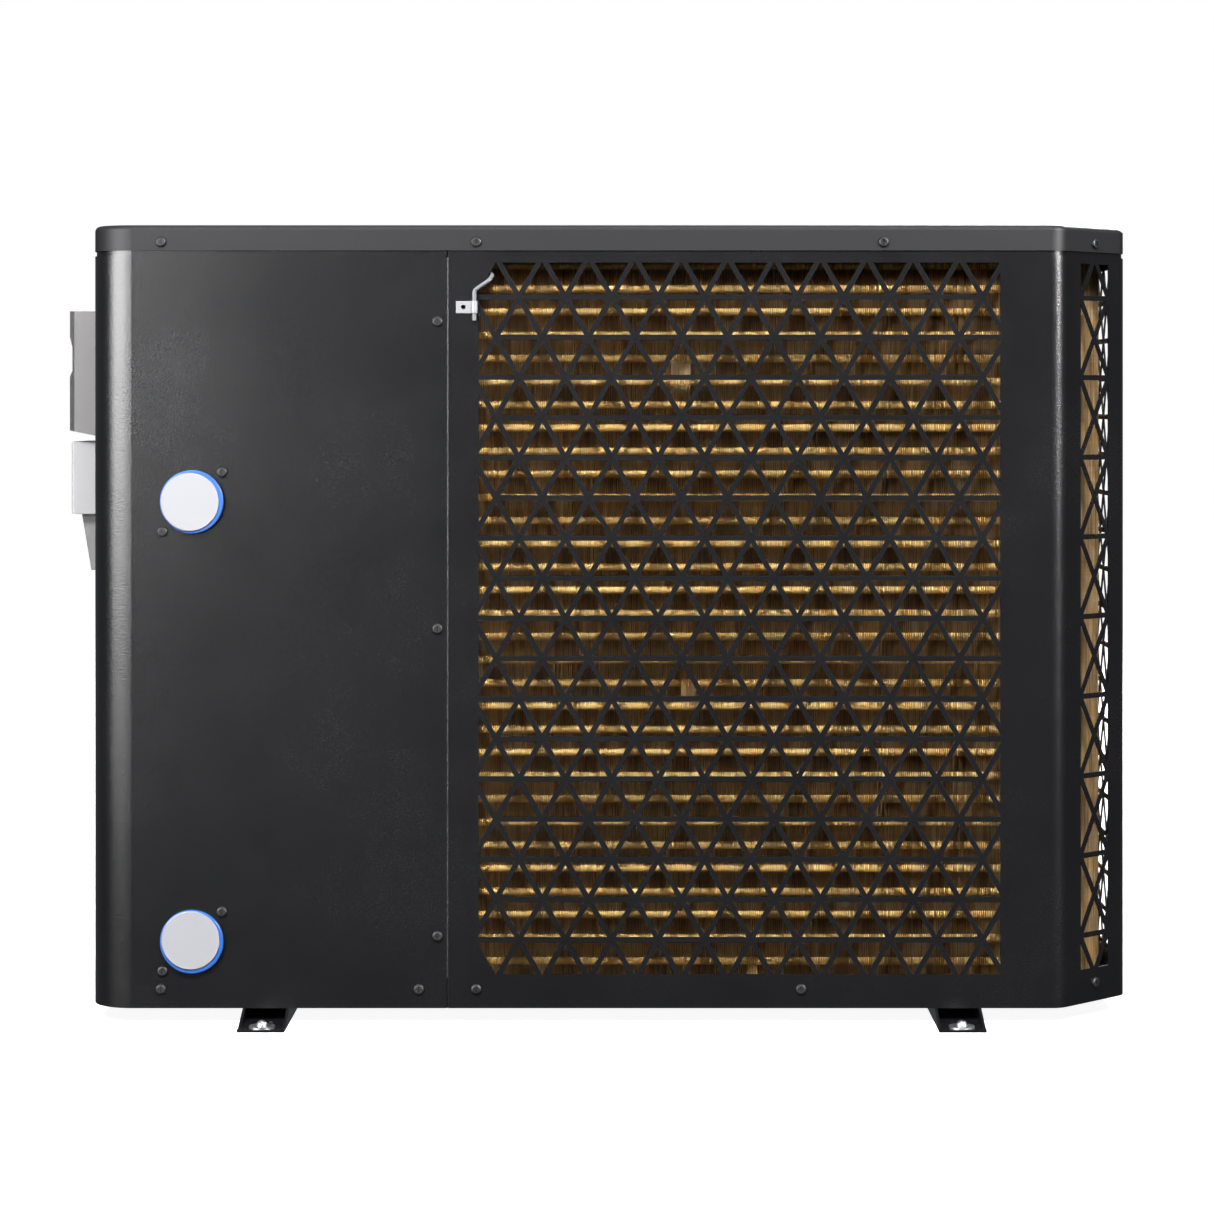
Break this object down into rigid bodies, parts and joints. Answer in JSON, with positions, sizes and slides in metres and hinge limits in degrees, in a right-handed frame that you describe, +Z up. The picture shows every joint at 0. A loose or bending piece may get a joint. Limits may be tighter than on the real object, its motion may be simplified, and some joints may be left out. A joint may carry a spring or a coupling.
{
  "type": "pool heat pump",
  "caption": "Box-shaped pool water heat pump: steel case with a triangular lattice guard, bent fin coil, axial fan, compressor, water heat exchanger and side controller.",
  "frame": {"origin": "on the floor, in the middle of the four anchor slots of the feet", "axes": "+X along the case, away from the water connections; +Y from the coil side to the fan side; +Z up"},
  "size_m": [1.0331, 0.514, 0.752],
  "materials": {
    "case_black": "fine textured powder coat, black",
    "galvanised": "galvanised sheet",
    "zinc": "zinc-plated",
    "gold_fins": "gold hydrophilic coating",
    "copper": "bare copper tube",
    "compressor_black": "gloss black enamel",
    "aluminium": "cast",
    "steel": "machined",
    "rubber": "matt",
    "fan_grey": "moulded",
    "guard_black": "moulded",
    "pvc_grey": "PVC",
    "titanium": "titanium",
    "blue_plastic": "moulded",
    "white_plastic": "moulded",
    "grey_plastic": "moulded",
    "dark_plastic": "moulded",
    "display_black": "glossy",
    "button_grey": "moulded",
    "board_green": "circuit board",
    "brass": "machined",
    "nylon_white": "nylon",
    "lead_grey": "PVC sheath",
    "nylon_black": "nylon"
  },
  "bodies": {
    "case": {"base_pan": "case_black", "foot_rail_left": "case_black", "foot_rail_right": "case_black", "foot_bolts": "zinc", "top_cover": "case_black", "service_panel": "case_black", "grille_panel": "case_black", "front_panel": "case_black", "case_screws": "zinc", "partition": "galvanised", "fan_guard": "guard_black", "bell_mouth": "guard_black", "motor_bracket": "galvanised", "fan_motor": "aluminium", "evaporator_fins": "gold_fins", "evaporator_end_plates": "galvanised", "evaporator_bends": "copper", "evaporator_header": "copper", "compressor_shell": "compressor_black", "compressor_cylinder": "steel", "compressor_grommets": "rubber", "compressor_studs": "zinc", "accumulator": "compressor_black", "refrigerant_pipes": "copper", "reversing_valve": "brass", "expansion_valve": "brass", "exchanger_shell": "pvc_grey", "exchanger_caps": "pvc_grey", "exchanger_coil": "titanium", "water_inlet_pipe": "pvc_grey", "water_outlet_pipe": "pvc_grey", "flow_switch": "dark_plastic", "electrical_box": "galvanised", "electrical_cover": "galvanised", "control_board": "board_green", "controller_housing": "grey_plastic", "controller_display": "display_black", "hinge_pin": "steel", "terminal_box": "white_plastic", "terminal_lid": "white_plastic", "cable_gland": "nylon_black", "cable_hood": "dark_plastic", "sensor_clip": "nylon_white", "sensor_lead": "lead_grey", "drain_spout": "nylon_black"},
    "fan": {"fan_shaft": "steel", "fan_blades": "fan_grey", "fan_nut": "zinc"},
    "crankshaft": {"compressor_rotor": "steel"},
    "cover": {"controller_cover": "dark_plastic"},
    "key_power": {"button_power": "button_grey"},
    "key_mode": {"button_mode": "button_grey"},
    "key_down": {"button_down": "button_grey"},
    "key_up": {"button_up": "button_grey"},
    "upper_plug": {"plug_upper": "blue_plastic", "plug_disc_upper": "white_plastic"},
    "lower_plug": {"plug_lower": "blue_plastic", "plug_disc_lower": "white_plastic"},
    "paddle": {"flow_paddle": "steel"},
    "valve_piston": {"valve_slide": "brass"}
  },
  "joints": [
    {"name": "fan_spin", "type": "hinge", "parent": "case", "child": "fan", "pos_m": [0.15, 0.122, 0.384], "axis": [0, 1, 0], "continuous": true},
    {"name": "compressor_spin", "type": "hinge", "parent": "case", "child": "crankshaft", "pos_m": [-0.265, 0.06, 0.2], "axis": [0, 0, 1], "continuous": true},
    {"name": "controller_cover_flip", "type": "hinge", "parent": "case", "child": "cover", "pos_m": [-0.5, 0, 0.671], "axis": [0, 1, 0], "range_deg": [0, 90]},
    {"name": "button_power_press", "type": "slide", "parent": "case", "child": "key_power", "axis": [1, 0, 0], "range_m": [0, 0.001], "stiffness_N_per_m": 400, "springref_m": -0.0002},
    {"name": "button_mode_press", "type": "slide", "parent": "case", "child": "key_mode", "axis": [1, 0, 0], "range_m": [0, 0.001], "stiffness_N_per_m": 400, "springref_m": -0.0002},
    {"name": "button_down_press", "type": "slide", "parent": "case", "child": "key_down", "axis": [1, 0, 0], "range_m": [0, 0.001], "stiffness_N_per_m": 400, "springref_m": -0.0002},
    {"name": "button_up_press", "type": "slide", "parent": "case", "child": "key_up", "axis": [1, 0, 0], "range_m": [0, 0.001], "stiffness_N_per_m": 400, "springref_m": -0.0002},
    {"name": "plug_upper_pull", "type": "slide", "parent": "case", "child": "upper_plug", "axis": [0, -1, 0], "range_m": [0, 0.15]},
    {"name": "plug_lower_pull", "type": "slide", "parent": "case", "child": "lower_plug", "axis": [0, -1, 0], "range_m": [0, 0.15]},
    {"name": "flow_paddle_swing", "type": "hinge", "parent": "case", "child": "paddle", "pos_m": [-0.3955, -0.15, 0.095], "axis": [1, 0, 0], "range_deg": [0, 35]},
    {"name": "reversing_slide", "type": "slide", "parent": "case", "child": "valve_piston", "axis": [1, 0, 0], "range_m": [0, 0.016]}
  ]
}
